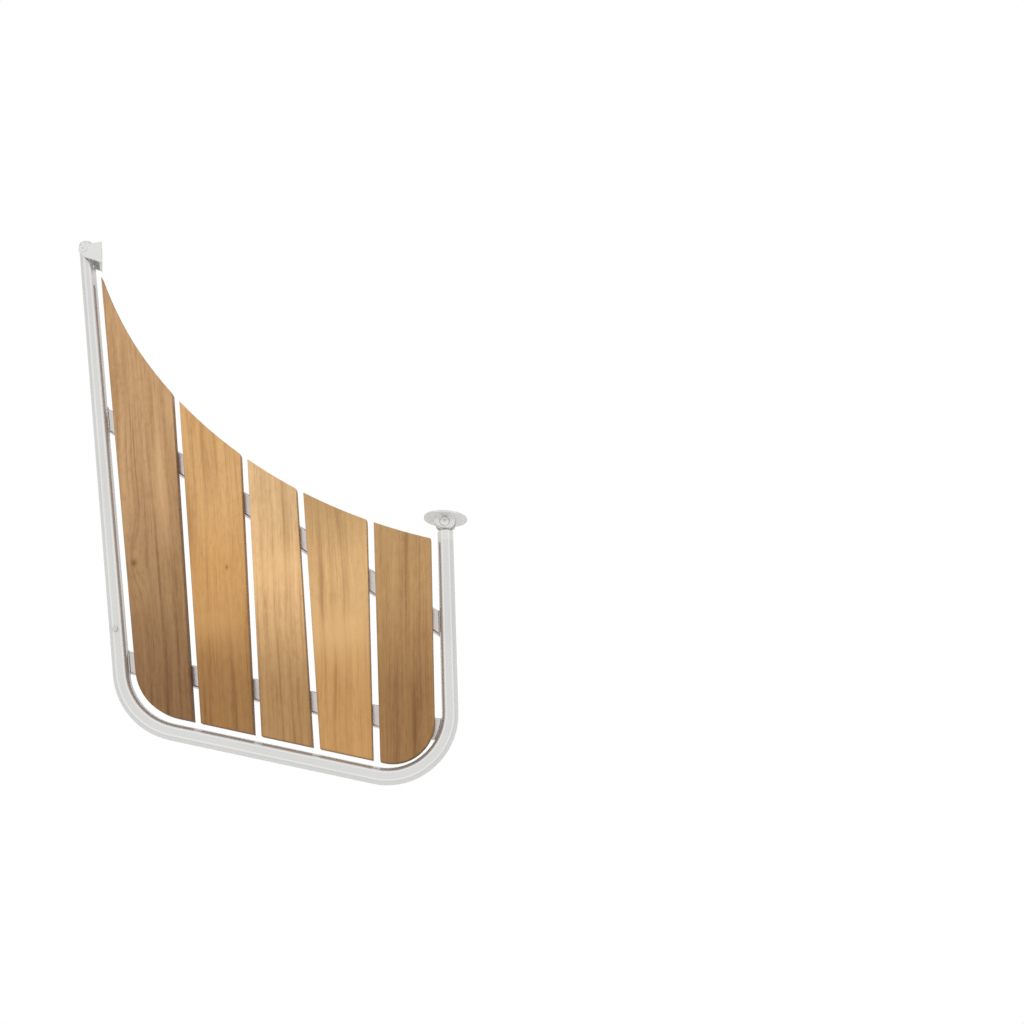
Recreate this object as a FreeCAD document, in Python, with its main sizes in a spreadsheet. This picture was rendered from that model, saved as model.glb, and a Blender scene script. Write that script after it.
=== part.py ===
import FreeCAD, Part
import math
import os
import re
import Sketcher

# Left-hand slatted teak boarding panel on a bent stainless tube. A round base
# and a fork bracket let the panel swing a little, to follow a curved stern.
# Axes: origin at the centre of the base's mounting face, +Y out of that face
# towards the hull, +Z up through the slat tops, +X from outer to inner leg.

SIZES = {
    # Bent tube: centre line, seen from above
    "tube_od": 25,
    "tube_wall": 1.5,
    "inner_leg_tilt": 5,
    "outer_leg_tilt": 14.62,
    "bottom_leg_tilt": 9.475,
    "bottom_leg_y": -423.43,
    "inner_bend_radius": 90,
    "outer_bend_radius": 115,
    "bracket_bolt_x": -675.1,
    "bracket_bolt_y": 483,
    "tube_past_bolt": 18.5,
    # Slats
    "slat_thickness": 15,
    "slat_gap": 11,
    "slat_edge_round": 2.5,
    "left_edge_x": -523.5,
    "left_edge_tilt": 14.6,
    "seam_1_x": -422.9,
    "seam_1_tilt": 12.3,
    "seam_2_x": -320.1,
    "seam_2_tilt": 10.2,
    "seam_3_x": -232.1,
    "seam_3_tilt": 9.9,
    "seam_4_x": -120.8,
    "seam_4_tilt": 6.5,
    "right_edge_x": -23.7,
    "right_edge_tilt": 4.9,
    "bottom_edge_y": -404,
    "bottom_edge_tilt": 9.65,
    "stern_curve_x": 153.6,
    "stern_curve_y": 822.8,
    "stern_curve_radius": 881.5,
    "outer_corner_round": 93,
    "inner_corner_round": 60,
    # Crossbars
    "bar_width": 32,
    "bar_height": 16,
    "bar_wall": 1.5,
    "bar_edge_round": 3,
    "weld_overlap": 6.5,
    "upper_bar_y": -174.4,
    "upper_bar_tilt": 29.85,
    "lower_bar_y": -337.1,
    "lower_bar_tilt": 9.9,
    "lower_bar_end_x": 94.94,
    "lower_bar_end_tilt": -12.7,
    # Slat screws
    "screw_radius": 2.4,
    "screw_bite": 10,
    "screw_head_radius": 4.5,
    "screw_head_height": 3,
    "screw_socket": 3,
    "screw_socket_depth": 1.6,
    "slat_washer_radius": 6.5,
    "slat_washer_thickness": 1,
    # Round base
    "base_radius": 35,
    "base_thickness": 3,
    "base_edge_round": 1,
    "lug_width": 33,
    "lug_reach": 21.5,
    "lug_height": 30,
    "lug_corner_round": 14,
    "lug_edge_round": 4,
    "seat_depth": 1.5,
    "head_seat_radius": 8.2,
    "washer_seat_radius": 8.4,
    "slot_start": 4,
    "slot_height": 10.6,
    "thread_radius": 3.4,
    "pivot_depth": 11.5,
    "base_bolt_radius": 4,
    "base_head_radius": 8,
    "base_head_height": 4.8,
    "base_head_round": 4.5,
    "base_socket": 5,
    "base_nut_flats": 13,
    "base_nut_height": 6.5,
    "base_collar_height": 1.5,
    "base_washer_radius": 8,
    "base_washer_thickness": 1.6,
    # Plug in the inner leg
    "tongue_height": 10,
    "tongue_radius": 7,
    "shoulder_reach": 12,
    "shoulder_round": 2.5,
    "plug_reach": 30,
    "spigot_length": 20,
    "bush_radius": 5,
    # Fork bracket
    "bracket_turn": 10.4,
    "cheek_thickness": 3,
    "fork_gap": 31,
    "nose_radius": 9,
    "web_x": 31.6,
    "web_thickness": 4,
    "web_lean": 18,
    "web_datum": 15,
    "cheek_heel_x": 1,
    "cheek_heel_y": -16,
    "web_top_y": 12,
    "web_bottom_y": -34.6,
    "cheek_edge_round": 1,
    "hull_hole_radius": 4.25,
    "hull_hole_high": 3,
    "hull_hole_low": -21,
    "bracket_bolt_radius": 4,
    "bracket_head_radius": 7,
    "bracket_head_height": 1.6,
    "bracket_head_round": 1.3,
    "bracket_socket": 4,
    "bracket_nut_flats": 13,
    "bracket_nut_height": 6.5,
    "bracket_collar_height": 1.5,
    "bracket_washer_radius": 8,
    "bracket_washer_thickness": 1.6,
    "sleeve_radius": 7,
    "sleeve_length": 30.8,
    # Tube end cap
    "cap_dome": 6,
    "cap_round": 5.4,
    "cap_spigot": 8,
    # Strut socket in the outer leg
    "strut_x": -494.95,
    "strut_y": -207.6,
    "rivet_radius": 3.5,
    "rivet_flange_radius": 4.2,
    "rivet_flange_height": 0.8,
    "rivet_depth": 10,
    "plug_screw_radius": 2.5,
    "plug_head_radius": 4.5,
    "plug_head_height": 2.6,
    "plug_head_round": 2,
    "plug_screw_length": 8,
    # Radial clearances
    "running_gap": 0.05,
    "screw_gap": 0.2,
}

Vector = FreeCAD.Vector
Constraint = Sketcher.Constraint

document = FreeCAD.newDocument("boarding_panel")
sheet = document.addObject("Spreadsheet::Sheet", "Dimensions")
for row, (alias, size) in enumerate(SIZES.items(), 1):
    sheet.set(f"A{row}", alias)
    sheet.set(f"B{row}", str(size))
    sheet.setAlias(f"B{row}", alias)
document.recompute()


def bound(formula):
    """Turns the size names in a formula into references to the sheet."""
    return re.sub(
        r"[a-z]\w*",
        lambda word: f"Dimensions.{word[0]}" if word[0] in SIZES else word[0],
        formula,
    )


def value(formula):
    """Works out a formula from the sheet."""
    result = sheet.evalExpression(bound(formula))
    return float(getattr(result, "Value", result))


def fix(sketch, kind, places, formula):
    """Adds a size constraint that follows a formula."""
    amount = value(formula)
    if kind == "Angle":
        amount = math.radians(amount)
    index = sketch.addConstraint(Constraint(kind, *places, amount))
    sketch.setExpression(f"Constraints[{index}]", bound(formula))


def new_body(label, x="0", y="0", z="0", turn="0"):
    """Starts a body placed at x, y, z and turned about Z."""
    body = document.addObject("PartDesign::Body", label)
    body.Label = label
    body.AllowCompound = True
    for axis, formula in zip("xyz", (x, y, z)):
        body.setExpression(f"Placement.Base.{axis}", bound(formula))
    body.setExpression("Placement.Rotation.Angle", bound(turn))
    return body


def new_sketch(body, name, plane="XY_Plane", height="0"):
    """Starts a sketch on one of the body's own planes, raised by height."""
    face = next(item for item in body.Origin.OriginFeatures if item.Role == plane)
    sketch = body.newObject("Sketcher::SketchObject", name)
    sketch.AttachmentSupport = [(face, "")]
    sketch.MapMode = "FlatFace"
    sketch.setExpression("AttachmentOffset.Base.z", bound(height))
    return sketch


def add_circles(sketch, spots, *radii):
    """Draws circles of the given radii about each spot."""
    for x, y in spots:
        for radius in radii:
            centre = Vector(value(x), value(y), 0)
            circle = sketch.addGeometry(Part.Circle(centre, Vector(0, 0, 1), value(radius)))
            fix(sketch, "DistanceX", (-1, 1, circle, 3), x)
            fix(sketch, "DistanceY", (-1, 1, circle, 3), y)
            fix(sketch, "Radius", (circle,), radius)


def add_polygon(sketch, corners):
    """Draws a closed outline through corners given as formulas."""
    points = [Vector(value(x), value(y), 0) for x, y in corners]
    count = len(points)
    lines = [
        sketch.addGeometry(Part.LineSegment(points[i], points[(i + 1) % count]))
        for i in range(count)
    ]
    for i, line in enumerate(lines):
        sketch.addConstraint(Constraint("Coincident", line, 2, lines[(i + 1) % count], 1))
    for line, (x, y) in zip(lines, corners):
        fix(sketch, "DistanceX", (-1, 1, line, 1), x)
        fix(sketch, "DistanceY", (-1, 1, line, 1), y)


def add_hexagon(sketch, flats, spot=("0", "0")):
    """Draws a hexagon of the given size across its flats about a spot."""
    x, y = spot
    size = f"{flats} / sqrt(3)"
    turns = range(0, 360, 60)
    add_polygon(sketch, [(f"{x} + {size} * cos({t})", f"{y} + {size} * sin({t})") for t in turns])


def line_of(edge):
    """A point on a straight edge and its direction."""
    heading, axis, crossing = edge
    angle = math.radians(value(heading))
    place = value(crossing)
    point = Vector(place, 0, 0) if axis == "x" else Vector(0, place, 0)
    return point, Vector(math.cos(angle), math.sin(angle), 0)


def meet(first, second):
    """The point where two straight edges cross."""
    start, along = line_of(first)
    other, across = line_of(second)
    gap = other - start
    reach = (gap.x * across.y - gap.y * across.x) / (along.x * across.y - along.y * across.x)
    return start + along * reach


def meet_stern(edge):
    """The point where a side edge crosses the near side of the stern curve."""
    centre = Vector(value("stern_curve_x"), value("stern_curve_y"), 0)
    radius = value("stern_curve_radius")
    start, along = line_of(edge)
    middle = along.dot(centre - start)
    offset = (start + along * middle - centre).Length
    half_chord = math.sqrt(radius ** 2 - offset ** 2)
    crossings = [start + along * (middle + side * half_chord) for side in (-1, 1)]
    return min(crossings, key=lambda point: point.y)


def follow_edge(sketch, line, edge):
    """Holds a sketch line on an edge: its heading and its axis crossing."""
    heading, axis, crossing = edge
    point, along = line_of(edge)
    mark = sketch.addGeometry(Part.Point(point), True)
    kind, axis_line = ("DistanceX", -1) if axis == "x" else ("DistanceY", -2)
    sketch.addConstraint(Constraint("PointOnObject", mark, 1, axis_line))
    fix(sketch, kind, (-1, 1, mark, 1), crossing)
    sketch.addConstraint(Constraint("PointOnObject", mark, 1, line))
    fix(sketch, "Angle", (line,), heading)


def add_quad(sketch, edges):
    """Draws the closed outline bounded by straight edges in order."""
    count = len(edges)
    corners = [meet(edges[i - 1], edges[i]) for i in range(count)]
    lines = [
        sketch.addGeometry(Part.LineSegment(corners[i], corners[(i + 1) % count]))
        for i in range(count)
    ]
    for i, line in enumerate(lines):
        sketch.addConstraint(Constraint("Coincident", line, 2, lines[(i + 1) % count], 1))
    for line, edge in zip(lines, edges):
        follow_edge(sketch, line, edge)


def extrude(body, kind, sketch, length, both=False, back=False):
    """Pads or pockets a sketch and checks that it changed the volume."""
    before = body.Tip.Shape.Volume if body.Tip else 0
    feature = body.newObject(f"PartDesign::{kind}", f"{sketch.Name}_{kind.lower()}")
    feature.Profile = sketch
    feature.setExpression("Length", bound(length))
    feature.SideType = "Symmetric" if both else "One side"
    feature.Reversed = back
    sketch.Visibility = False
    document.recompute()
    change = feature.Shape.Volume - before
    if (change if kind == "Pad" else -change) <= 0:
        raise ValueError(f"{feature.Name} did not change the volume as meant")
    return feature


def round_edges(body, name, chosen, radius):
    """Fillets the tip's edges picked out by a test."""
    tip = body.Tip
    names = [f"Edge{i}" for i, edge in enumerate(tip.Shape.Edges, 1) if chosen(edge)]
    fillet = body.newObject("PartDesign::Fillet", name)
    fillet.Base = (tip, names)
    fillet.setExpression("Radius", bound(radius))
    document.recompute()
    return fillet


def at_level(edge, height):
    """True for an edge that lies wholly at one height."""
    box = edge.BoundBox
    return abs(box.ZMin - height) < 1e-4 and abs(box.ZMax - height) < 1e-4


def upright_at(edge, point):
    """True for an upright edge at a point seen from above."""
    box = edge.BoundBox
    near = math.hypot(box.Center.x - point.x, box.Center.y - point.y) < 0.01
    return near and box.ZLength > 1


def add_bend(sketch, before, after, radius):
    """Adds the arc that joins two lines turning clockwise."""
    first = sketch.Geometry[before]
    second = sketch.Geometry[after]
    along = (first.EndPoint - first.StartPoint).normalize()
    centre = first.EndPoint + Vector(along.y, -along.x, 0) * value(radius)
    low = math.atan2(second.StartPoint.y - centre.y, second.StartPoint.x - centre.x)
    high = math.atan2(first.EndPoint.y - centre.y, first.EndPoint.x - centre.x)
    circle = Part.Circle(centre, Vector(0, 0, 1), value(radius))
    arc = sketch.addGeometry(Part.ArcOfCircle(circle, low, high))
    sketch.addConstraint(Constraint("Tangent", before, 2, arc, 2))
    sketch.addConstraint(Constraint("Tangent", arc, 1, after, 1))
    fix(sketch, "Radius", (arc,), radius)


INNER_LEG_HEADING = "inner_leg_tilt - 90"
BOTTOM_LEG_HEADING = "180 - bottom_leg_tilt"
OUTER_LEG_HEADING = "90 + outer_leg_tilt"
PLUG_END_X = "plug_reach * sin(inner_leg_tilt)"
PLUG_END_Y = "-pivot_depth - plug_reach * cos(inner_leg_tilt)"
INNER_LEG_X = "-pivot_depth * tan(inner_leg_tilt)"
OUTER_LEG_X = "bracket_bolt_x + bracket_bolt_y * tan(outer_leg_tilt)"
TUBE_BORE = "tube_od / 2 - tube_wall"

inner_leg = (INNER_LEG_HEADING, "x", INNER_LEG_X)
bottom_leg = (BOTTOM_LEG_HEADING, "y", "bottom_leg_y")
outer_leg = (OUTER_LEG_HEADING, "x", OUTER_LEG_X)


def make_tube(label, hollow):
    """Sweeps the tube section along its bent centre line."""
    body = new_body(label)
    path = new_sketch(body, f"{label}_path")
    corner_b = meet(inner_leg, bottom_leg)
    corner_a = meet(bottom_leg, outer_leg)
    inner_turn = value("90 + bottom_leg_tilt + inner_leg_tilt")
    outer_turn = value("90 - bottom_leg_tilt - outer_leg_tilt")
    inner_set = value("inner_bend_radius") * math.tan(math.radians(inner_turn / 2))
    outer_set = value("outer_bend_radius") * math.tan(math.radians(outer_turn / 2))
    start = Vector(value(PLUG_END_X), value(PLUG_END_Y), 0)
    directions = [line_of(leg)[1] for leg in (inner_leg, bottom_leg, outer_leg)]
    bolt = Vector(value("bracket_bolt_x"), value("bracket_bolt_y"), 0)
    end = bolt + directions[2] * value("tube_past_bolt")
    runs = (
        (start, corner_b - directions[0] * inner_set),
        (corner_b + directions[1] * inner_set, corner_a - directions[1] * outer_set),
        (corner_a + directions[2] * outer_set, end),
    )
    lines = [path.addGeometry(Part.LineSegment(*run)) for run in runs]
    add_bend(path, lines[0], lines[1], "inner_bend_radius")
    add_bend(path, lines[1], lines[2], "outer_bend_radius")
    fix(path, "DistanceX", (-1, 1, lines[0], 1), PLUG_END_X)
    fix(path, "DistanceY", (-1, 1, lines[0], 1), PLUG_END_Y)
    fix(path, "Angle", (lines[0],), INNER_LEG_HEADING)
    follow_edge(path, lines[1], bottom_leg)
    mark = path.addGeometry(Part.Point(bolt), True)
    fix(path, "DistanceX", (-1, 1, mark, 1), "bracket_bolt_x")
    fix(path, "DistanceY", (-1, 1, mark, 1), "bracket_bolt_y")
    path.addConstraint(Constraint("PointOnObject", mark, 1, lines[2]))
    fix(path, "Angle", (lines[2],), OUTER_LEG_HEADING)
    fix(path, "Distance", (mark, 1, lines[2], 2), "tube_past_bolt")

    section = new_sketch(body, f"{label}_section", "XZ_Plane", f"-({PLUG_END_Y})")
    section.setExpression("AttachmentOffset.Base.x", bound(PLUG_END_X))
    section.AttachmentOffset = FreeCAD.Placement(
        section.AttachmentOffset.Base,
        FreeCAD.Rotation(Vector(0, 1, 0), 0),
    )
    section.setExpression("AttachmentOffset.Rotation.Angle", bound("inner_leg_tilt"))
    radii = ("tube_od / 2", TUBE_BORE) if hollow else ("tube_od / 2",)
    add_circles(section, [("0", "0")], *radii)
    sweep = body.newObject("PartDesign::AdditivePipe", f"{label}_sweep")
    sweep.Profile = section
    sweep.Spine = (path, [])
    document.recompute()
    return body


# Bent tube, with the cross hole for the bracket sleeve and the rivet hole
tube_envelope = make_tube("tube_envelope", False)
frame_tube = make_tube("frame_tube", True)
bolt_spot = [("bracket_bolt_x", "bracket_bolt_y")]
strut_spot = [("strut_x", "strut_y")]
cross_hole = new_sketch(frame_tube, "cross_hole")
add_circles(cross_hole, bolt_spot, "sleeve_radius + running_gap")
extrude(frame_tube, "Pocket", cross_hole, "tube_od * 2", both=True)
rivet_hole = new_sketch(frame_tube, "rivet_hole")
add_circles(rivet_hole, strut_spot, "rivet_radius + running_gap")
extrude(frame_tube, "Pocket", rivet_hole, "tube_od", back=True)


# Slats: side edges run along the seams, tops follow the stern curve
def seam_edge(seam, side):
    """Crossing and tilt of the slat edge on one side of a seam."""
    if seam == 0:
        return "left_edge_x", "left_edge_tilt"
    if seam == 5:
        return "right_edge_x", "right_edge_tilt"
    return f"seam_{seam}_x {side} slat_gap / 2 / cos(seam_{seam}_tilt)", f"seam_{seam}_tilt"


BARS = {
    "upper": ("upper_bar_y", "upper_bar_tilt"),
    "lower": ("lower_bar_y", "lower_bar_tilt"),
}


def screw_spots(bar, slat):
    """The two screw positions where a crossbar passes under a slat."""
    bar_y, bar_tilt = BARS[bar]
    sides = []
    for edge_x, edge_tilt in (seam_edge(slat - 1, "+"), seam_edge(slat, "-")):
        lean = f"tan({edge_tilt})"
        sides.append(f"({edge_x} - {lean} * {bar_y}) / (1 - {lean} * tan({bar_tilt}))")
    left, right = sides
    spots = []
    for share in ("0.25", "0.75"):
        x = f"(1 - {share}) * {left} + {share} * {right}"
        spots.append((x, f"{bar_y} - tan({bar_tilt}) * ({x})"))
    return spots


def make_slat(slat):
    """One slat with rounded top edges and blind screw holes below."""
    body = new_body(f"slat_{slat}")
    left_x, left_tilt = seam_edge(slat - 1, "+")
    right_x, right_tilt = seam_edge(slat, "-")
    left = (f"90 + {left_tilt}", "x", left_x)
    right = (f"{right_tilt} - 90", "x", right_x)
    bottom = ("180 - bottom_edge_tilt", "y", "bottom_edge_y")
    foot_left = meet(bottom, left)
    foot_right = meet(right, bottom)
    top_left = meet_stern(left)
    top_right = meet_stern(right)
    plan = new_sketch(body, f"slat_{slat}_plan")
    centre = Vector(value("stern_curve_x"), value("stern_curve_y"), 0)
    angles = [math.atan2(p.y - centre.y, p.x - centre.x) for p in (top_left, top_right)]
    curve = Part.Circle(centre, Vector(0, 0, 1), value("stern_curve_radius"))
    side_a = plan.addGeometry(Part.LineSegment(foot_left, top_left))
    top = plan.addGeometry(Part.ArcOfCircle(curve, *angles))
    side_b = plan.addGeometry(Part.LineSegment(top_right, foot_right))
    base = plan.addGeometry(Part.LineSegment(foot_right, foot_left))
    loop = (side_a, top, side_b, base)
    for i, edge in enumerate(loop):
        plan.addConstraint(Constraint("Coincident", edge, 2, loop[(i + 1) % 4], 1))
    for line, edge in ((side_a, left), (side_b, right), (base, bottom)):
        follow_edge(plan, line, edge)
    fix(plan, "DistanceX", (-1, 1, top, 3), "stern_curve_x")
    fix(plan, "DistanceY", (-1, 1, top, 3), "stern_curve_y")
    fix(plan, "Radius", (top,), "stern_curve_radius")
    extrude(body, "Pad", plan, "slat_thickness")
    if slat == 1:
        round_edges(body, "outer_corner", lambda e: upright_at(e, foot_left), "outer_corner_round")
    if slat == 5:
        round_edges(body, "inner_corner", lambda e: upright_at(e, foot_right), "inner_corner_round")
    height = value("slat_thickness")

    def rounded_top(edge):
        """True for the top edges other than the one on the stern curve."""
        span = (edge.valueAt(edge.FirstParameter) - centre).Length - curve.Radius
        other = (edge.valueAt(edge.LastParameter) - centre).Length - curve.Radius
        ends_on_curve = max(abs(span), abs(other)) < height
        return at_level(edge, height) and not ends_on_curve

    round_edges(body, f"slat_{slat}_round", rounded_top, "slat_edge_round")
    holes = new_sketch(body, f"slat_{slat}_holes")
    spots = screw_spots("upper", slat) + screw_spots("lower", slat)
    add_circles(holes, spots, "screw_radius + running_gap")
    extrude(body, "Pocket", holes, "screw_bite + 1", back=True)
    return body


SLATS = range(1, 6)
slats = [make_slat(slat) for slat in SLATS]


# Crossbars: rectangular tubes notched to fit the round tube
def make_bar(bar, inner_end):
    """One crossbar between the legs, with its slat screw holes."""
    bar_y, bar_tilt = BARS[bar]
    inset = "weld_overlap / cos(outer_leg_tilt)"
    outer_end = (OUTER_LEG_HEADING, "x", f"{OUTER_LEG_X} + {inset}")
    heading = f"-{bar_tilt}"

    def outline(sketch, half_width):
        """Plan of the bar, or of its hollow, between its cut ends."""
        shift = f"({half_width}) / cos({bar_tilt})"
        upper_edge = (heading, "y", f"{bar_y} + {shift}")
        lower_edge = (f"180 - {bar_tilt}", "y", f"{bar_y} - {shift}")
        add_quad(sketch, [outer_end, upper_edge, inner_end, lower_edge])

    body = new_body(f"{bar}_bar_blank")
    plan = new_sketch(body, f"{bar}_bar_plan")
    outline(plan, "bar_width / 2")
    extrude(body, "Pad", plan, "bar_height", back=True)
    along = line_of((heading, "y", bar_y))[1]
    depths = (0, -value("bar_height"))

    def long_edge(edge):
        """True for the four edges that run the length of the bar."""
        flat = any(at_level(edge, depth) for depth in depths)
        return flat and abs(edge.tangentAt(edge.FirstParameter).dot(along)) > 0.9999

    round_edges(body, f"{bar}_bar_round", long_edge, "bar_edge_round")
    hollow = new_sketch(body, f"{bar}_bar_hollow", height="-bar_wall")
    outline(hollow, "bar_width / 2 - bar_wall")
    extrude(body, "Pocket", hollow, "bar_height - bar_wall * 2")
    holes = new_sketch(body, f"{bar}_bar_holes")
    spots = [spot for slat in SLATS for spot in screw_spots(bar, slat)]
    add_circles(holes, spots, "screw_radius + screw_gap")
    extrude(body, "Pocket", holes, "bar_height")
    notched = document.addObject("Part::Cut", f"{bar}_crossbar")
    notched.Label = f"{bar}_crossbar"
    notched.Base = body
    notched.Tool = tube_envelope
    notched.Refine = True
    return notched


inner_leg_end = (
    INNER_LEG_HEADING,
    "x",
    f"{INNER_LEG_X} - weld_overlap / cos(inner_leg_tilt)",
)
inner_bend_end = ("lower_bar_end_tilt - 90", "x", "lower_bar_end_x")
bars = [make_bar("upper", inner_leg_end), make_bar("lower", inner_bend_end)]


# Slat screws and their washers, under each crossbar
def make_screws(bar):
    """The row of slat screws and the row of washers under one crossbar."""
    spots = [spot for slat in SLATS for spot in screw_spots(bar, slat)]
    washers = new_body(f"{bar}_slat_washers", z="-bar_height")
    rings = new_sketch(washers, f"{bar}_washer_rings")
    add_circles(rings, spots, "slat_washer_radius", "screw_radius + screw_gap")
    extrude(washers, "Pad", rings, "slat_washer_thickness", back=True)
    screws = new_body(f"{bar}_slat_screws", z="-bar_height - slat_washer_thickness")
    heads = new_sketch(screws, f"{bar}_screw_heads")
    add_circles(heads, spots, "screw_head_radius")
    extrude(screws, "Pad", heads, "screw_head_height", back=True)
    depth = -value("screw_head_height")
    round_edges(screws, f"{bar}_head_round", lambda e: at_level(e, depth), "screw_head_height / 2")
    sockets = new_sketch(screws, f"{bar}_screw_sockets", height="-screw_head_height")
    for spot in spots:
        add_hexagon(sockets, "screw_socket", spot)
    extrude(screws, "Pocket", sockets, "screw_socket_depth", back=True)
    shanks = new_sketch(screws, f"{bar}_screw_shanks")
    add_circles(shanks, spots, "screw_radius")
    extrude(screws, "Pad", shanks, "slat_washer_thickness + bar_height + screw_bite")
    return [washers, screws]


fasteners = make_screws("upper") + make_screws("lower")


# Low-head bolts, nuts and washers of the two pivots
def make_nut(label, spot, top, name, bolt_radius):
    """A lock nut hanging below height top, with its plain collar."""
    x, y = spot
    body = new_body(label, x, y, top)
    hexagon = new_sketch(body, f"{label}_hexagon")
    add_hexagon(hexagon, f"{name}_nut_flats")
    extrude(body, "Pad", hexagon, f"{name}_nut_height", back=True)
    collar = new_sketch(body, f"{label}_collar", height=f"-{name}_nut_height")
    add_circles(collar, [("0", "0")], f"{name}_nut_flats * 0.45")
    extrude(body, "Pad", collar, f"{name}_collar_height", back=True)
    bore = new_sketch(body, f"{label}_bore")
    add_circles(bore, [("0", "0")], f"{bolt_radius} + running_gap")
    extrude(body, "Pocket", bore, f"{name}_nut_height + {name}_collar_height")
    return body


def make_washer(label, spot, top, name, bolt_radius):
    """A washer hanging below height top."""
    x, y = spot
    body = new_body(label, x, y, top)
    ring = new_sketch(body, f"{label}_ring")
    add_circles(ring, [("0", "0")], f"{name}_washer_radius", f"{bolt_radius} + running_gap")
    extrude(body, "Pad", ring, f"{name}_washer_thickness", back=True)
    return body


BASE_PIVOT = ("0", "-pivot_depth")
LUG_FACE = "lug_height / 2"
SEAT_LEVEL = "(lug_height / 2 - seat_depth)"

# Round base: disc, two knuckle lugs, slot, pivot hole and tapped hole
base_foot = new_body("base_foot")
disc = new_sketch(base_foot, "base_disc", "XZ_Plane")
add_circles(disc, [("0", "0")], "base_radius")
extrude(base_foot, "Pad", disc, "base_thickness")
front = value("-base_thickness")
round_edges(
    base_foot,
    "disc_round",
    lambda e: abs(e.BoundBox.YMin - front) < 1e-4 and e.BoundBox.YLength < 1e-4,
    "base_edge_round",
)
lugs = new_sketch(base_foot, "base_lugs")
add_polygon(
    lugs,
    [
        ("-lug_width / 2", "-base_thickness / 2"),
        ("-lug_width / 2", "-lug_reach"),
        ("lug_width / 2", "-lug_reach"),
        ("lug_width / 2", "-base_thickness / 2"),
    ],
)
extrude(base_foot, "Pad", lugs, "lug_height", both=True)
reach = value("lug_reach")


def lug_corner(edge):
    """True for the two upright edges at the lugs' far corners."""
    box = edge.BoundBox
    return box.ZLength > 20 and abs(box.YMax + reach) < 1e-4 and box.YLength < 1e-4


round_edges(base_foot, "lug_corners", lug_corner, "lug_corner_round")
lug_face = value(LUG_FACE)


def lug_rim(edge):
    """True for the rim edges of the lugs' two faces, clear of the disc."""
    on_face = at_level(edge, lug_face) or at_level(edge, -lug_face)
    return on_face and edge.BoundBox.YMin < front - 1e-4


round_edges(base_foot, "lug_round", lug_rim, "lug_edge_round")
slot = new_sketch(base_foot, "base_slot", "YZ_Plane")
add_polygon(
    slot,
    [
        ("-lug_reach - 5", "-slot_height / 2"),
        ("-slot_start", "-slot_height / 2"),
        ("-slot_start", "slot_height / 2"),
        ("-lug_reach - 5", "slot_height / 2"),
    ],
)
extrude(base_foot, "Pocket", slot, "lug_width + 10", both=True)
pivot_hole = new_sketch(base_foot, "base_pivot_hole")
add_circles(pivot_hole, [BASE_PIVOT], "base_bolt_radius + running_gap")
extrude(base_foot, "Pocket", pivot_hole, "lug_height + 10", both=True)
for name, side, radius in (
    ("head_seat", "", "head_seat_radius"),
    ("washer_seat", "-", "washer_seat_radius"),
):
    seat = new_sketch(base_foot, name, height=f"{side}{SEAT_LEVEL}")
    add_circles(seat, [BASE_PIVOT], radius)
    extrude(base_foot, "Pocket", seat, "seat_depth * 2", back=side == "")
tapped_hole = new_sketch(base_foot, "base_tapped_hole", "XZ_Plane")
add_circles(tapped_hole, [("0", "0")], "thread_radius")
extrude(base_foot, "Pocket", tapped_hole, "slot_start * 2 + 1", both=True)


def make_pivot_bolt(label, spot, name, grip):
    """Bolt, washer and nut through a fork whose seats are at +-grip."""
    x, y = spot
    radius = f"{name}_bolt_radius"
    body = new_body(f"{label}_bolt", x, y, grip)
    head = new_sketch(body, f"{label}_head")
    add_circles(head, [("0", "0")], f"{name}_head_radius")
    extrude(body, "Pad", head, f"{name}_head_height")
    height = value(f"{name}_head_height")
    round_edges(body, f"{label}_dome", lambda e: at_level(e, height), f"{name}_head_round")
    shank = new_sketch(body, f"{label}_shank")
    add_circles(shank, [("0", "0")], radius)
    below = f"{name}_washer_thickness + {name}_nut_height + {name}_collar_height + 1"
    extrude(body, "Pad", shank, f"({grip}) * 2 + {below}", back=True)
    key = new_sketch(body, f"{label}_key", height=f"{name}_head_height")
    add_hexagon(key, f"{name}_socket")
    extrude(body, "Pocket", key, f"{name}_head_height * 0.6")
    washer = make_washer(f"{label}_washer", spot, f"-({grip})", name, radius)
    nut = make_nut(f"{label}_nut", spot, f"-({grip}) - {name}_washer_thickness", name, radius)
    return [body, washer, nut]


base_fasteners = make_pivot_bolt("base", BASE_PIVOT, "base", SEAT_LEVEL)

# Plug in the inner leg: tongue, shoulder and spigot, with a plain bush
base_plug = new_body("base_plug", *BASE_PIVOT, turn="inner_leg_tilt")
stem = new_sketch(base_plug, "plug_stem")
add_polygon(
    stem,
    [
        ("0", "-shoulder_reach"),
        ("tube_od / 2", "-shoulder_reach"),
        ("tube_od / 2", "-plug_reach"),
        (f"{TUBE_BORE} - running_gap", "-plug_reach"),
        (f"{TUBE_BORE} - running_gap", "-plug_reach - spigot_length"),
        ("0", "-plug_reach - spigot_length"),
    ],
)
stem_turn = base_plug.newObject("PartDesign::Revolution", "plug_stem_turn")
stem_turn.Profile = stem
stem_turn.ReferenceAxis = (stem, ["V_Axis"])
stem_turn.Angle = 360
document.recompute()
shoulder = value("-shoulder_reach")
round_edges(
    base_plug,
    "plug_shoulder",
    lambda e: abs(e.BoundBox.YMax - shoulder) < 1e-4 and e.BoundBox.YLength < 1e-4,
    "shoulder_round",
)
tongue = new_sketch(base_plug, "plug_tongue")
add_polygon(
    tongue,
    [
        ("-tongue_radius", "0"),
        ("-tongue_radius", "-shoulder_reach - 2"),
        ("tongue_radius", "-shoulder_reach - 2"),
        ("tongue_radius", "0"),
    ],
)
extrude(base_plug, "Pad", tongue, "tongue_height", both=True)
tongue_end = new_sketch(base_plug, "plug_tongue_end")
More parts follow.
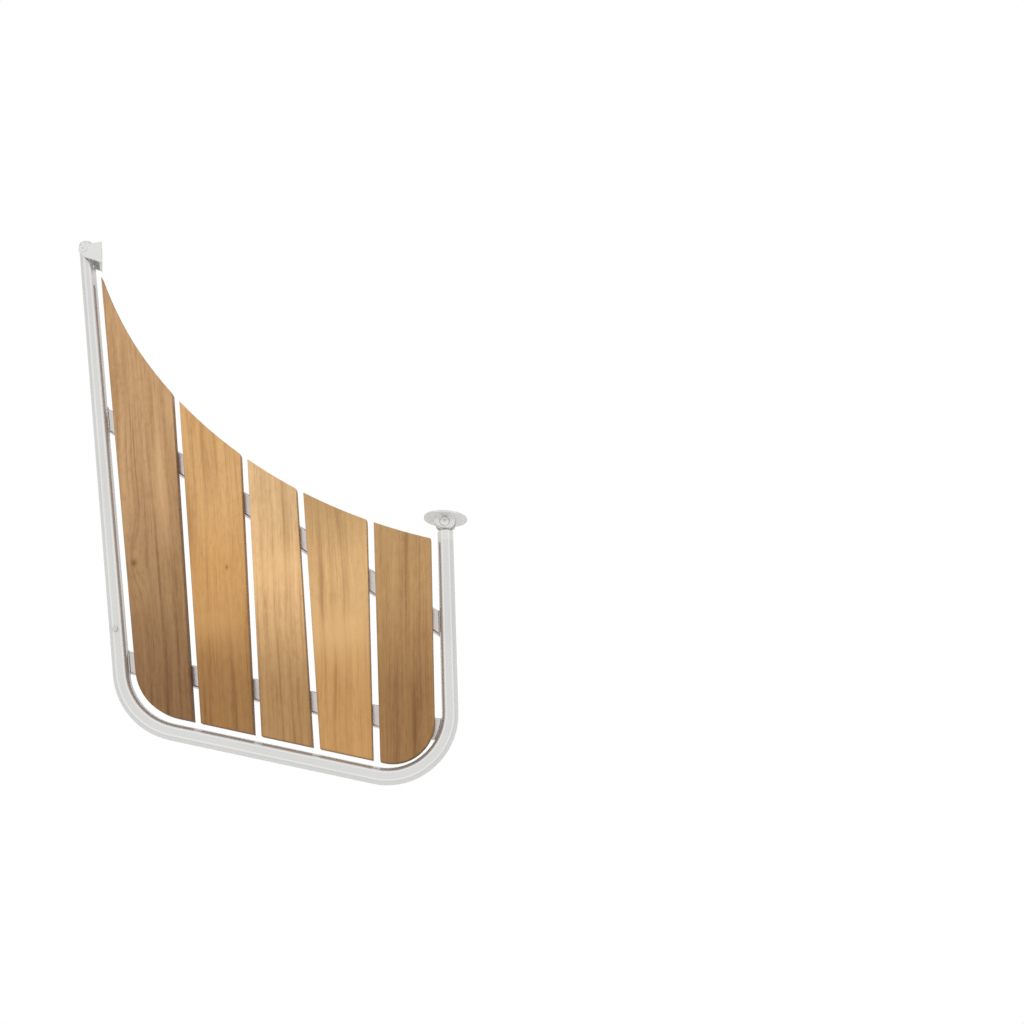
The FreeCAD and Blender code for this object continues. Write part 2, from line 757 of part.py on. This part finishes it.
add_circles(tongue_end, [("0", "0")], "tongue_radius")
extrude(base_plug, "Pad", tongue_end, "tongue_height", both=True)
bush_hole = new_sketch(base_plug, "plug_bush_hole")
add_circles(bush_hole, [("0", "0")], "bush_radius")
extrude(base_plug, "Pocket", bush_hole, "tongue_height + 2", both=True)


def make_bush(label, spot, outer, inner, length):
    """A plain bush centred on the height of the tube's centre line."""
    body = new_body(label, *spot)
    ring = new_sketch(body, f"{label}_ring")
    add_circles(ring, [("0", "0")], outer, inner)
    extrude(body, "Pad", ring, length, both=True)
    return body


tongue_bush = make_bush(
    "tongue_bush",
    BASE_PIVOT,
    "bush_radius",
    "base_bolt_radius + running_gap",
    "slot_height - running_gap * 4",
)
bracket_sleeve = make_bush(
    "bracket_sleeve",
    bolt_spot[0],
    "sleeve_radius",
    "bracket_bolt_radius + running_gap",
    "sleeve_length",
)

# Fork bracket: cheeks and leaning web, cut from one block
hull_bracket = new_body("hull_bracket", *bolt_spot[0], turn="bracket_turn")
FORK_HEIGHT = "fork_gap + cheek_thickness * 2"
FORK_TOP = "(fork_gap / 2 + cheek_thickness)"
blank = new_sketch(hull_bracket, "bracket_plan")
add_polygon(
    blank,
    [
        ("nose_radius * cos(95)", "nose_radius * sin(95)"),
        ("web_x + 3", "web_top_y"),
        ("web_x + 3", "web_bottom_y"),
        ("cheek_heel_x", "cheek_heel_y"),
        ("nose_radius * cos(218)", "nose_radius * sin(218)"),
    ],
)
extrude(hull_bracket, "Pad", blank, FORK_HEIGHT, both=True)
nose = new_sketch(hull_bracket, "bracket_nose")
add_circles(nose, [("0", "0")], "nose_radius")
extrude(hull_bracket, "Pad", nose, FORK_HEIGHT, both=True)


def web_face_x(height, depth="0"):
    """How far out the leaning web's face is at a height, less a depth."""
    return f"web_x - (web_datum - ({height})) * tan(web_lean) - ({depth}) / cos(web_lean)"


CUT_TOP = f"({FORK_TOP} + 2)"
lean_cut = new_sketch(hull_bracket, "bracket_lean", "XZ_Plane")
add_polygon(
    lean_cut,
    [
        (web_face_x(CUT_TOP), CUT_TOP),
        ("web_x + 40", CUT_TOP),
        ("web_x + 40", f"-{CUT_TOP}"),
        (web_face_x(f"-{CUT_TOP}"), f"-{CUT_TOP}"),
    ],
)
extrude(hull_bracket, "Pocket", lean_cut, "web_x * 6", both=True)
cheek_face = value(FORK_TOP)
round_edges(
    hull_bracket,
    "cheek_round",
    lambda e: at_level(e, cheek_face) or at_level(e, -cheek_face),
    "cheek_edge_round",
)
mouth = new_sketch(hull_bracket, "bracket_mouth", "XZ_Plane")
add_polygon(
    mouth,
    [
        ("-web_x", "-fork_gap / 2"),
        (web_face_x("-fork_gap / 2", "web_thickness"), "-fork_gap / 2"),
        (web_face_x("fork_gap / 2", "web_thickness"), "fork_gap / 2"),
        ("-web_x", "fork_gap / 2"),
    ],
)
extrude(hull_bracket, "Pocket", mouth, "web_x * 6", both=True)
bolt_hole = new_sketch(hull_bracket, "bracket_bolt_hole")
add_circles(bolt_hole, [("0", "0")], "bracket_bolt_radius + running_gap")
extrude(hull_bracket, "Pocket", bolt_hole, f"({FORK_HEIGHT}) * 2", both=True)
hull_holes = new_sketch(hull_bracket, "bracket_hull_holes", "YZ_Plane", "12 * cos(web_lean)")
hull_holes.setExpression("AttachmentOffset.Base.y", bound("-12 * sin(web_lean)"))
hull_holes.AttachmentOffset = FreeCAD.Placement(
    hull_holes.AttachmentOffset.Base,
    FreeCAD.Rotation(Vector(1, 0, 0), value("web_lean")),
)
hull_holes.setExpression("AttachmentOffset.Rotation.Angle", bound("web_lean"))
hole_height = f"({web_face_x('0')}) * sin(web_lean)"
hull_spots = [("hull_hole_high", hole_height), ("hull_hole_low", hole_height)]
add_circles(hull_holes, hull_spots, "hull_hole_radius")
extrude(hull_bracket, "Pocket", hull_holes, "web_x", back=True)
bracket_fasteners = make_pivot_bolt("bracket", bolt_spot[0], "bracket", FORK_TOP)

# Domed cap in the open end of the outer leg
tube_end_cap = new_body(
    "tube_end_cap",
    "bracket_bolt_x - tube_past_bolt * sin(outer_leg_tilt)",
    "bracket_bolt_y + tube_past_bolt * cos(outer_leg_tilt)",
    turn="outer_leg_tilt",
)
cap_plan = new_sketch(tube_end_cap, "cap_profile")
add_polygon(
    cap_plan,
    [
        ("0", "-cap_spigot"),
        (f"{TUBE_BORE} - running_gap", "-cap_spigot"),
        (f"{TUBE_BORE} - running_gap", "0"),
        ("tube_od / 2", "0"),
        ("tube_od / 2", "cap_dome"),
        ("0", "cap_dome"),
    ],
)
cap_turn = tube_end_cap.newObject("PartDesign::Revolution", "cap_turn")
cap_turn.Profile = cap_plan
cap_turn.ReferenceAxis = (cap_plan, ["V_Axis"])
cap_turn.Angle = 360
document.recompute()
cap_top = value("cap_dome")
round_edges(
    tube_end_cap,
    "cap_round_edge",
    lambda e: abs(e.BoundBox.YMin - cap_top) < 1e-4 and e.BoundBox.XLength > 20,
    "cap_round",
)

# Threaded insert and domed plug screw on the outer leg, for a strut
strut_rivet_nut = new_body("strut_rivet_nut", *strut_spot[0], "tube_od / 2")
flange = new_sketch(strut_rivet_nut, "rivet_flange")
add_circles(flange, [("0", "0")], "rivet_flange_radius")
extrude(strut_rivet_nut, "Pad", flange, "rivet_flange_height")
barrel = new_sketch(strut_rivet_nut, "rivet_barrel")
add_circles(barrel, [("0", "0")], "rivet_radius")
extrude(strut_rivet_nut, "Pad", barrel, "rivet_depth", back=True)
insert_bore = new_sketch(strut_rivet_nut, "rivet_bore")
add_circles(insert_bore, [("0", "0")], "plug_screw_radius + running_gap")
extrude(strut_rivet_nut, "Pocket", insert_bore, "rivet_depth * 3", both=True)
strut_plug_screw = new_body(
    "strut_plug_screw",
    *strut_spot[0],
    "tube_od / 2 + rivet_flange_height",
)
plug_head = new_sketch(strut_plug_screw, "plug_head")
add_circles(plug_head, [("0", "0")], "plug_head_radius")
extrude(strut_plug_screw, "Pad", plug_head, "plug_head_height")
plug_top = value("plug_head_height")
round_edges(strut_plug_screw, "plug_dome", lambda e: at_level(e, plug_top), "plug_head_round")
plug_shank = new_sketch(strut_plug_screw, "plug_shank")
add_circles(plug_shank, [("0", "0")], "plug_screw_radius")
extrude(strut_plug_screw, "Pad", plug_shank, "plug_screw_length", back=True)

nodes = [
    frame_tube,
    *slats,
    *bars,
    *fasteners,
    base_foot,
    *base_fasteners,
    base_plug,
    tongue_bush,
    bracket_sleeve,
    hull_bracket,
    *bracket_fasteners,
    tube_end_cap,
    strut_rivet_nut,
    strut_plug_screw,
]

document.recompute()
for item in document.Objects:
    if "Invalid" in item.State or "Error" in item.State:
        raise ValueError(f"{item.Label} did not recompute")

os.makedirs("parts", exist_ok=True)
for node in nodes:
    if node.Shape.isNull() or not node.Shape.isValid():
        raise ValueError(f"{node.Label} has no valid shape")
    node.Shape.exportStep(f"parts/{node.Label}.step")
    box = node.Shape.BoundBox
    print(
        f"{node.Label}: {len(node.Shape.Solids)} solids, "
        f"X {box.XMin:.1f} to {box.XMax:.1f}, Y {box.YMin:.1f} to {box.YMax:.1f}, "
        f"Z {box.ZMin:.1f} to {box.ZMax:.1f}"
    )
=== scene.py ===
import math

import bmesh
import bpy
from mathutils import Matrix, Vector


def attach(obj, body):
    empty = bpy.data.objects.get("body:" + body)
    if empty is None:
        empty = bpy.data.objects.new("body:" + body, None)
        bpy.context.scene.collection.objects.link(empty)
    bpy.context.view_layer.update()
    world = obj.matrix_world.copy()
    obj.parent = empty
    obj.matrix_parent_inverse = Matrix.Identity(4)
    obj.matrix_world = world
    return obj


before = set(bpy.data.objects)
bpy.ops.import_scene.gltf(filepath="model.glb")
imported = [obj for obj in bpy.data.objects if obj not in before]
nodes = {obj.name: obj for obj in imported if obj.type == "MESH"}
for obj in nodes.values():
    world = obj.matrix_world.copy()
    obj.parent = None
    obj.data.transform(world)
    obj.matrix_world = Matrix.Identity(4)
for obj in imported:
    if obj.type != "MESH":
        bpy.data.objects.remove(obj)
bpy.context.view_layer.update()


# ---- node helpers
def add(tree, kind, values=None, **settings):
    """Adds a node, with sockets set from numbers or linked from other sockets."""
    node = tree.nodes.new(kind)
    for name, setting in settings.items():
        setattr(node, name, setting)
    for key, source in (values or {}).items():
        if isinstance(source, bpy.types.NodeSocket):
            tree.links.new(source, node.inputs[key])
        else:
            node.inputs[key].default_value = source
    return node


def calc(tree, operation, *values):
    """One step of arithmetic on numbers or sockets."""
    node = add(tree, "ShaderNodeMath", dict(enumerate(values)), operation=operation)
    return node.outputs[0]


def blend(tree, share, first, second, mode="MIX"):
    """Mixes two colours by share."""
    values = {0: share, 6: first, 7: second}
    node = add(tree, "ShaderNodeMix", values, data_type="RGBA", blend_type=mode)
    return node.outputs[2]


def ramp(tree, value, low, high):
    """Smooth 0 to 1 as value goes from low to high."""
    node = add(
        tree,
        "ShaderNodeMapRange",
        {"Value": value, "From Min": low, "From Max": high, "To Min": 0.0, "To Max": 1.0},
        interpolation_type="SMOOTHSTEP",
    )
    return node.outputs[0]


def noise(tree, vector, detail, roughness=0.5):
    """Noise of one cycle a unit of vector, so stretched() alone sets its size."""
    values = {"Vector": vector, "Scale": 1.0, "Detail": detail, "Roughness": roughness}
    return add(tree, "ShaderNodeTexNoise", values, noise_dimensions="3D").outputs["Fac"]


def stretched(tree, vector, across, along, seed):
    """Coordinates for noise, where across and along are cycles a metre and seed moves them."""
    values = {
        "Vector": vector,
        "Location": (seed, seed * 0.7, seed * 1.3),
        "Scale": (across, along, across),
    }
    return add(tree, "ShaderNodeMapping", values).outputs[0]


def new_material(name):
    """A material with only a Principled shader and its output."""
    material = bpy.data.materials.new(name)
    material.use_nodes = True
    tree = material.node_tree
    tree.nodes.clear()
    output = add(tree, "ShaderNodeOutputMaterial")
    shader = add(tree, "ShaderNodeBsdfPrincipled")
    tree.links.new(shader.outputs[0], output.inputs[0])
    return material, tree, shader


def linear(*screen):
    """A linear colour from red, green and blue screen values above 10, up to 255."""
    return (*(((c / 255 + 0.055) / 1.055) ** 2.4 for c in screen), 1.0)


def scaled(colour, share):
    return tuple(c * share for c in colour[:3]) + (1.0,)


# ---- materials
def make_steel(name, tint, rough, smears, seed, metallic=1.0):
    """Stainless steel with faint smears. What metallic leaves over is scattered light."""
    material, tree, shader = new_material(name)
    place = add(tree, "ShaderNodeTexCoord").outputs["Object"]
    fine = noise(tree, stretched(tree, place, 400, 400, seed), 2.0)
    broad = noise(tree, stretched(tree, place, 22, 22, seed + 3), 4.0, 0.6)
    wide = noise(tree, stretched(tree, place, 4, 4, seed + 5), 3.0)
    colour = blend(tree, ramp(tree, wide, 0.35, 0.65), scaled(tint, 0.95), tint)
    tree.links.new(colour, shader.inputs["Base Color"])
    shader.inputs["Metallic"].default_value = metallic
    smear = calc(tree, "MULTIPLY", ramp(tree, broad, 0.35, 0.7), smears)
    tree.links.new(calc(tree, "ADD", smear, rough), shader.inputs["Roughness"])
    bump = add(tree, "ShaderNodeBump", {"Strength": 0.02, "Distance": 0.0002, "Height": fine})
    tree.links.new(bump.outputs[0], shader.inputs["Normal"])
    return material


def make_plastic(name, colour, seed):
    """Dull moulded plastic with a faint mottle."""
    material, tree, shader = new_material(name)
    place = add(tree, "ShaderNodeTexCoord").outputs["Object"]
    mottled = noise(tree, stretched(tree, place, 300, 300, seed), 3.0)
    tree.links.new(blend(tree, mottled, scaled(colour, 0.85), colour), shader.inputs["Base Color"])
    shader.inputs["Roughness"].default_value = 0.45
    bump = add(tree, "ShaderNodeBump", {"Strength": 0.1, "Distance": 0.0002, "Height": mottled})
    tree.links.new(bump.outputs[0], shader.inputs["Normal"])
    return material


def hump(tree, across, along, centre, size):
    """1 at a centre, falling off smoothly over size, across and along the grain."""
    parts = []
    for axis, middle, reach in zip((across, along), centre, size):
        away = calc(tree, "DIVIDE", calc(tree, "SUBTRACT", axis, middle), reach)
        parts.append(calc(tree, "MULTIPLY", away, away))
    return calc(tree, "EXPONENT", calc(tree, "MULTIPLY", calc(tree, "ADD", *parts), -1.0))


# Teak colours, and where its tones change along the boards, in metres
DARK_GRAIN = (0.46, 0.36, 0.27, 1.0)
LIGHT_GRAIN = (1.20, 1.24, 1.26, 1.0)
KNOT_COLOUR = (0.19, 0.07, 0.028, 1.0)
# Colour of sides and ends: partly darker sawn wood, partly painted shade between the slats
SAWN_SIDE_SHADE_COLOUR = (0.22, 0.125, 0.065, 1.0)
FAR_Y, MIDDLE_Y, NEAR_Y = 0.05, -0.12, -0.31


def make_teak(name, tilt, tones, wave, contrast, seed, streaks, knot=None):
    """Oiled teak with its grain along a board.

    tilt is the grain's lean in degrees, tones are the far, middle and near colour, and wave is
    how far grain lines wander. A streak is x, y, half width, half length and strength, dark
    when below 0. A knot is x, y and size. All lengths are in metres.
    """
    far, middle, near = tones
    lean = math.radians(tilt)

    def turn(x, y):
        """Grain coordinates of a place on the board."""
        return x * math.cos(lean) + y * math.sin(lean), y * math.cos(lean) - x * math.sin(lean)

    material, tree, shader = new_material(name)
    place = add(tree, "ShaderNodeTexCoord").outputs["Object"]
    apart = add(tree, "ShaderNodeSeparateXYZ", {0: place}).outputs
    rotation = {"Vector": place, "Angle": -lean}
    turned = add(tree, "ShaderNodeVectorRotate", rotation, rotation_type="Z_AXIS").outputs[0]
    axes = add(tree, "ShaderNodeSeparateXYZ", {0: turned}).outputs
    # Grain lines wander, and bend round a knot
    wander = noise(tree, stretched(tree, turned, 4.0, 3.0, seed), 2.0)
    shift = calc(tree, "MULTIPLY", calc(tree, "SUBTRACT", wander, 0.5), wave)
    across = calc(tree, "ADD", axes[0], shift)
    if knot:
        x, y, size = knot
        spot = turn(x, y)
        bow = hump(tree, axes[0], axes[1], spot, (size * 2.2, size * 7))
        across = calc(tree, "MULTIPLY_ADD", bow, size * 1.8, across)
        core = hump(tree, axes[0], axes[1], spot, (size * 0.55, size * 0.75))
    grain = add(tree, "ShaderNodeCombineXYZ", {0: across, 1: axes[1], 2: axes[2]}).outputs[0]
    tone = noise(tree, stretched(tree, grain, 30, 1.3, seed + 1), 5.0, 0.6)
    bands = noise(tree, stretched(tree, grain, 130, 2.2, seed + 2), 4.0, 0.6)
    fibre = noise(tree, stretched(tree, grain, 380, 7, seed + 3), 4.0, 0.65)
    pores = noise(tree, stretched(tree, grain, 480, 55, seed + 4), 2.0, 0.6)
    fleck = noise(tree, stretched(tree, turned, 190, 60, seed + 6), 4.0, 0.65)
    patch = noise(tree, stretched(tree, place, 13, 9, seed + 5), 4.0, 0.55)
    board = blend(tree, ramp(tree, apart[1], FAR_Y, MIDDLE_Y), far, middle)
    board = blend(tree, ramp(tree, apart[1], MIDDLE_Y, NEAR_Y), board, near)
    dark = blend(tree, 1.0, board, DARK_GRAIN, mode="MULTIPLY")
    light = blend(tree, 1.0, board, LIGHT_GRAIN, mode="MULTIPLY")
    colour = board
    # Each layer: its noise, where it starts and is full, its share when full, and its colour
    layers = (
        (tone, 0.52, 0.72, 0.44 * contrast, dark),
        (tone, 0.50, 0.28, 0.66 * contrast, light),
        (patch, 0.50, 0.74, 0.35 * contrast, light),
        (patch, 0.48, 0.24, 0.22 * contrast, dark),
        (bands, 0.50, 0.74, 0.62 * contrast, dark),
        (bands, 0.50, 0.28, 0.75 * contrast, light),
        (fibre, 0.48, 0.76, 0.55 * contrast, dark),
        (fleck, 0.48, 0.76, 0.28 * contrast, dark),
        (fleck, 0.52, 0.24, 0.35 * contrast, light),
        (pores, 0.64, 0.80, 0.40, dark),
    )
    for layer, start, full, most, toward in layers:
        share = calc(tree, "MULTIPLY", ramp(tree, layer, start, full), most)
        colour = blend(tree, share, colour, toward)
    for x, y, width, length, strength in streaks:
        shape = hump(tree, across, axes[1], turn(x, y), (width, length))
        toward = light if strength > 0 else dark
        colour = blend(tree, calc(tree, "MULTIPLY", shape, abs(strength)), colour, toward)
    if knot:
        colour = blend(tree, calc(tree, "MULTIPLY", core, 0.8), colour, KNOT_COLOUR)
    # End grain and sawn sides are a little darker than the planed top, and on top of that the
    # sides carry painted shade: colour darkens as a face turns away from up, standing in for the
    # shade between slats
    normal = add(tree, "ShaderNodeNewGeometry").outputs["Normal"]
    facing = add(tree, "ShaderNodeSeparateXYZ", {0: normal}).outputs[2]
    # Painted shade: share of the dark side colour grows as the face turns away from up
    sawn_side_shade = ramp(tree, facing, 0.80, 0.15)
    colour = blend(tree, calc(tree, "MULTIPLY", sawn_side_shade, 0.55), colour, SAWN_SIDE_SHADE_COLOUR)
    tree.links.new(colour, shader.inputs["Base Color"])
    gloss = calc(tree, "MULTIPLY_ADD", fibre, 0.20, 0.48)
    tree.links.new(gloss, shader.inputs["Roughness"])
    shader.inputs["Specular IOR Level"].default_value = 0.3
    height = calc(tree, "MULTIPLY", calc(tree, "ADD", fibre, bands), 0.6)
    bump = add(tree, "ShaderNodeBump", {"Strength": 0.3, "Distance": 0.0004, "Height": height})
    tree.links.new(bump.outputs[0], shader.inputs["Normal"])
    return material


steel = make_steel("steel_polished", (0.80, 0.795, 0.78, 1.0), 0.14, 0.06, 1.0, 0.65)
cast_steel = make_steel("steel_cast", (0.85, 0.845, 0.825, 1.0), 0.18, 0.08, 6.0, 0.5)
bar_steel = make_steel("steel_bar", (0.74, 0.70, 0.685, 1.0), 0.24, 0.10, 2.0)
bolt_steel = make_steel("steel_bolt", (0.74, 0.73, 0.72, 1.0), 0.18, 0.10, 3.0)
weld_steel = make_steel("steel_weld", (0.66, 0.64, 0.61, 1.0), 0.24, 0.14, 4.0)
acetal = make_plastic("acetal", (0.80, 0.79, 0.75, 1.0), 5.0)


def tones(*colours):
    return [linear(*colour) for colour in colours]


teak = {
    "slat_1": make_teak(
        "teak_1", 13.5, tones((206, 163, 116), (180, 140, 95), (144, 105, 67)), 0.018, 1.0, 1.0,
        streaks=((-0.466, 0.043, 0.008, 0.11, 0.7), (-0.443, 0.03, 0.007, 0.14, -0.35),
                 (-0.500, 0.05, 0.009, 0.10, -0.22), (-0.560, 0.24, 0.006, 0.08, -0.30),
                 (-0.450, -0.205, 0.070, 0.040, -0.16)),
        knot=(-0.4837, -0.1008, 0.0080),
    ),
    "slat_2": make_teak(
        "teak_2", 11.3, tones((227, 178, 118), (216, 164, 101), (167, 122, 71)), 0.012, 0.75, 5.0,
        streaks=((-0.412, -0.03, 0.012, 0.07, -0.45), (-0.400, 0.10, 0.020, 0.10, -0.15),
                 (-0.350, -0.196, 0.040, 0.028, 0.5), (-0.338, -0.102, 0.0016, 0.004, -0.9)),
    ),
    "slat_3": make_teak(
        "teak_3", 10.0, tones((231, 190, 138), (240, 194, 137), (185, 142, 92)), 0.014, 0.8, 9.0,
        streaks=((-0.262, 0.00, 0.004, 0.08, -0.35), (-0.245, -0.06, 0.003, 0.10, -0.30),
                 (-0.255, -0.100, 0.050, 0.035, 0.40)),
    ),
    "slat_4": make_teak(
        "teak_4", 8.2, tones((200, 160, 108), (228, 183, 126), (205, 155, 96)), 0.030, 0.65, 13.0,
        streaks=((-0.182, -0.157, 0.0026, 0.10, -0.55), (-0.150, -0.270, 0.0022, 0.06, -0.50),
                 (-0.155, -0.205, 0.055, 0.040, 0.65)),
    ),
    "slat_5": make_teak(
        "teak_5", 5.5, tones((194, 156, 106), (196, 153, 101), (162, 120, 73)), 0.020, 0.85, 17.0,
        streaks=((-0.0255, -0.330, 0.004, 0.055, -0.55), (-0.062, -0.12, 0.006, 0.12, -0.20)),
    ),
}
looks = {**teak, "tongue_bush": acetal, "upper_crossbar": bar_steel, "lower_crossbar": bar_steel}
for name in ("frame_tube", "tube_end_cap", "bracket_sleeve"):
    looks[name] = steel
for name in ("base_foot", "base_bolt", "base_plug", "hull_bracket", "bracket_bolt"):
    looks[name] = cast_steel
for name, obj in nodes.items():
    look = looks.get(name, bolt_steel)
    obj.data.materials.clear()
    obj.data.materials.append(look)

# ---- weld beads where the crossbars meet the bent tube, in metres
TUBE_RADIUS = 0.0125
BAR_HALF_WIDTH = 0.016
BAR_CORNER = 0.003
BEAD_RADIUS = 0.0019
BEAD_PITCH = 0.0018
BEAD_SIDES = 14
BEAD_END_LEVEL = -0.0095
SIDE_STEPS, CORNER_STEPS, TOP_STEPS = 12, 8, 45
BEND_CENTRE = Vector((-0.0632, -0.3215))
BEND_RADIUS = 0.090
# A direction that no stretch of a bead runs along
BEAD_UP = Vector((0.3, 0.1, 1.0))


def bar_edge():
    """Bar outline beside the weld: sideways place and level, from side to side over the top."""
    inset = BAR_HALF_WIDTH - BAR_CORNER
    climb = (-BAR_CORNER - BEAD_END_LEVEL) / SIDE_STEPS
    rise = [(BAR_HALF_WIDTH, BEAD_END_LEVEL + climb * i) for i in range(SIDE_STEPS)]
    angles = [math.radians(90 * i / CORNER_STEPS) for i in range(CORNER_STEPS + 1)]
    corner = [
        (inset + BAR_CORNER * math.cos(a), BAR_CORNER * (math.sin(a) - 1)) for a in angles
    ]
    flat = [(inset * (1 - i / TOP_STEPS), 0.0) for i in range(1, TOP_STEPS + 1)]
    right = rise + corner + flat
    return [(-side, level) for side, level in right] + right[-2::-1]


def leg_spot(start, along, inward, bar_point, sideways):
    """Places bar outline points on a straight leg's surface."""
    def spot(side, level):
        base = start + inward * math.sqrt(TUBE_RADIUS ** 2 - level ** 2)
        reach = (side - (base - bar_point).dot(sideways)) / along.dot(sideways)
        return (*(base + along * reach), level)
    return spot


def bend_spot(bar_point, sideways):
    """Places bar outline points on the inside of the bend."""
    def spot(side, level):
        reach = BEND_RADIUS - math.sqrt(TUBE_RADIUS ** 2 - level ** 2)
        share = (side - (BEND_CENTRE - bar_point).dot(sideways)) / reach
        angle = math.atan2(sideways.y, sideways.x) - math.acos(share)
        return (*(BEND_CENTRE + Vector((math.cos(angle), math.sin(angle))) * reach), level)
    return spot


def make_weld(name, spot):
    """A rippled bead swept along the joint between a bar and the tube."""
    path = [Vector(spot(side, level)) for side, level in bar_edge()]
    mesh = bmesh.new()
    rings = []
    travelled = 0.0
    for i, point in enumerate(path):
        before, after = path[max(i - 1, 0)], path[min(i + 1, len(path) - 1)]
        along = (after - before).normalized()
        travelled += (point - before).length
        outward = (BEAD_UP - along * along.z).normalized()
        outward = (outward - along * outward.dot(along)).normalized()
        beside = along.cross(outward)
        uneven = 0.15 * math.sin(travelled * 700)
        ripple = abs(math.sin(math.pi * (travelled / BEAD_PITCH + uneven)))
        end_taper = min(1.0, 0.45 + 0.2 * min(i, len(path) - 1 - i))
        radius = BEAD_RADIUS * (0.80 + 0.20 * ripple) * end_taper
        turns = [2 * math.pi * k / BEAD_SIDES for k in range(BEAD_SIDES)]
        rings.append([
            mesh.verts.new(point + outward * radius * math.cos(a) + beside * radius * math.sin(a))
            for a in turns
        ])
    for first, second in zip(rings, rings[1:]):
        for k in range(BEAD_SIDES):
            mesh.faces.new((first[k], first[k - 1], second[k - 1], second[k]))
    mesh.faces.new(rings[0])
    mesh.faces.new(reversed(rings[-1]))
    bmesh.ops.recalc_face_normals(mesh, faces=mesh.faces)
    for face in mesh.faces:
        face.smooth = True
    data = bpy.data.meshes.new(name)
    mesh.to_mesh(data)
    mesh.free()
    data.materials.append(weld_steel)
    bead = bpy.data.objects.new(name, data)
    bpy.context.scene.collection.objects.link(bead)
    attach(bead, "deck")


def heading(degrees):
    return Vector((math.cos(math.radians(degrees)), math.sin(math.radians(degrees))))


# Legs: a point on the centre line, the way along it and the way in. Bars: a point and the way
# across the bar
outer_leg = (Vector((-0.6751, 0.483)), heading(104.62), heading(14.62))
inner_leg = (Vector((0.0, -0.0115)), heading(-85.0), heading(-175.0))
upper_bar = (Vector((0.0, -0.1744)), heading(60.15))
lower_bar = (Vector((0.0, -0.3371)), heading(80.1))
make_weld("weld_upper_outer", leg_spot(*outer_leg, *upper_bar))
make_weld("weld_lower_outer", leg_spot(*outer_leg, *lower_bar))
make_weld("weld_upper_inner", leg_spot(*inner_leg, *upper_bar))
make_weld("weld_lower_inner", bend_spot(*lower_bar))

# ---- camera, in metres, millimetres of lens and degrees of roll
EYE = Vector((0.1313, -0.6218, 1.5762))
AIM = Vector((0.10685, 0.01456, 0.0))
LENS = 36.91
ROLL = 2.2

camera_data = bpy.data.cameras.new("camera")
camera_data.sensor_width = 36
camera_data.lens = LENS
camera = bpy.data.objects.new("camera", camera_data)
bpy.context.scene.collection.objects.link(camera)
forward = (AIM - EYE).normalized()
level = Vector((*heading(ROLL), 0.0))
right = (level - forward * level.dot(forward)).normalized()
upward = right.cross(forward)
camera.matrix_world = Matrix(
    (
        (right.x, upward.x, -forward.x, EYE.x),
        (right.y, upward.y, -forward.y, EYE.y),
        (right.z, upward.z, -forward.z, EYE.z),
        (0, 0, 0, 1),
    )
)
bpy.context.scene.camera = camera

# ---- stage and light
bpy.context.scene.view_settings.view_transform = "Standard"
FLOOR_LEVEL = -0.6
FLOOR_EDGE = 40.0
CORNERS = ((-1, -1), (1, -1), (1, 1), (-1, 1))
WHITE = (1, 1, 1, 1)

floor_mesh = bpy.data.meshes.new("floor")
floor_points = [(x * FLOOR_EDGE, y * FLOOR_EDGE, FLOOR_LEVEL) for x, y in CORNERS]
floor_mesh.from_pydata(floor_points, [], [(0, 1, 2, 3)])
floor = bpy.data.objects.new("floor", floor_mesh)
bpy.context.scene.collection.objects.link(floor)
white, tree, shader = new_material("floor_white")
shader.inputs["Base Color"].default_value = (0.88, 0.88, 0.88, 1)
shader.inputs["Roughness"].default_value = 0.9
# The camera sees plain white, and all other rays see a pale surface
glow = add(tree, "ShaderNodeEmission", {0: WHITE, 1: 1.0})
seen = add(tree, "ShaderNodeLightPath").outputs["Is Camera Ray"]
mixed = add(tree, "ShaderNodeMixShader", {0: seen, 1: shader.outputs[0], 2: glow.outputs[0]})
# The floor is clear from below, so that views of the underside are not blocked
below = add(tree, "ShaderNodeNewGeometry").outputs["Backfacing"]
clear = add(tree, "ShaderNodeBsdfTransparent")
one_sided = add(tree, "ShaderNodeMixShader", {0: below, 1: mixed.outputs[0], 2: clear.outputs[0]})
surface = next(node for node in tree.nodes if node.bl_idname == "ShaderNodeOutputMaterial")
tree.links.new(one_sided.outputs[0], surface.inputs[0])
floor_mesh.materials.append(white)

world = bpy.data.worlds.new("studio")
bpy.context.scene.world = world
world.use_nodes = True
tree = world.node_tree
tree.nodes.clear()
toward = add(tree, "ShaderNodeTexCoord").outputs["Generated"]
height = add(tree, "ShaderNodeSeparateXYZ", {0: toward}).outputs[2]
sky = add(tree, "ShaderNodeValToRGB", {0: calc(tree, "MULTIPLY_ADD", height, 0.5, 0.5)})
# A soft grey studio for all but the camera, with a brighter ring overhead
stops = sky.color_ramp.elements
stops[0].position, stops[0].color = 0.0, (0.68, 0.68, 0.69, 1)
stops[1].position, stops[1].color = 1.0, (0.86, 0.86, 0.86, 1)
for place, level in ((0.50, 0.72), (0.70, 0.78), (0.77, 1.10), (0.83, 1.10), (0.88, 0.84)):
    stop = stops.new(place)
    stop.color = (level, level, level, 1)
backdrop = add(tree, "ShaderNodeBackground", {0: sky.outputs[0], 1: 1.0})
plain = add(tree, "ShaderNodeBackground", {0: WHITE, 1: 1.0})
seen = add(tree, "ShaderNodeLightPath").outputs["Is Camera Ray"]
around = add(tree, "ShaderNodeMixShader", {0: seen, 1: backdrop.outputs[0], 2: plain.outputs[0]})
output = add(tree, "ShaderNodeOutputWorld")
tree.links.new(around.outputs[0], output.inputs[0])
